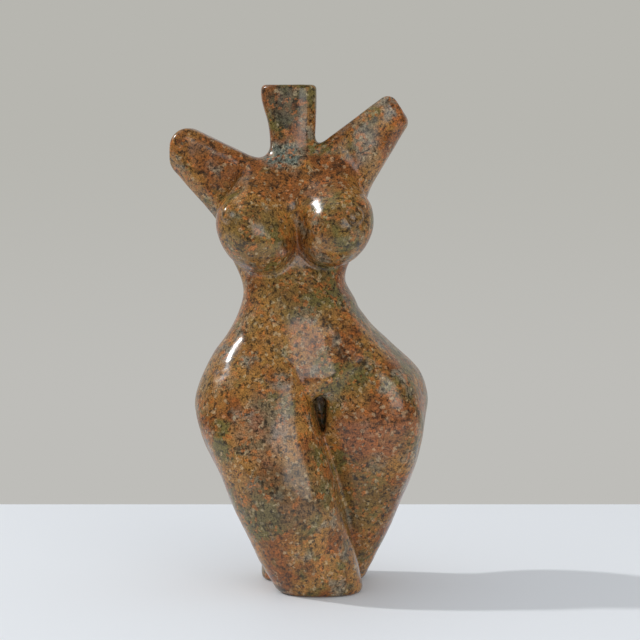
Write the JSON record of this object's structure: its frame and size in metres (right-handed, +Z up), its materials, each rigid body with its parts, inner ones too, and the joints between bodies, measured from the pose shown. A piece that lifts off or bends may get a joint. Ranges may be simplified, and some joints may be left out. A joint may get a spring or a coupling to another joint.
{
  "type": "female torso sculpture",
  "caption": "Headless female torso carved from one block of polished mottled stone, with short raised arms, a plain neck block and crossed legs ending in flat soles.",
  "frame": {"origin": "the bottom centre of the whole carving's box, in the plane of its soles", "axes": "+Z up the figure, -Y the way the chest faces, +X to the viewer's right when looking at the chest"},
  "size_m": [0.1544, 0.1164, 0.3],
  "materials": {
    "stone": "polished, mottled rusty brown and olive with fine dark speckle"
  },
  "bodies": {
    "root": {"torso": "stone"}
  },
  "joints": []
}
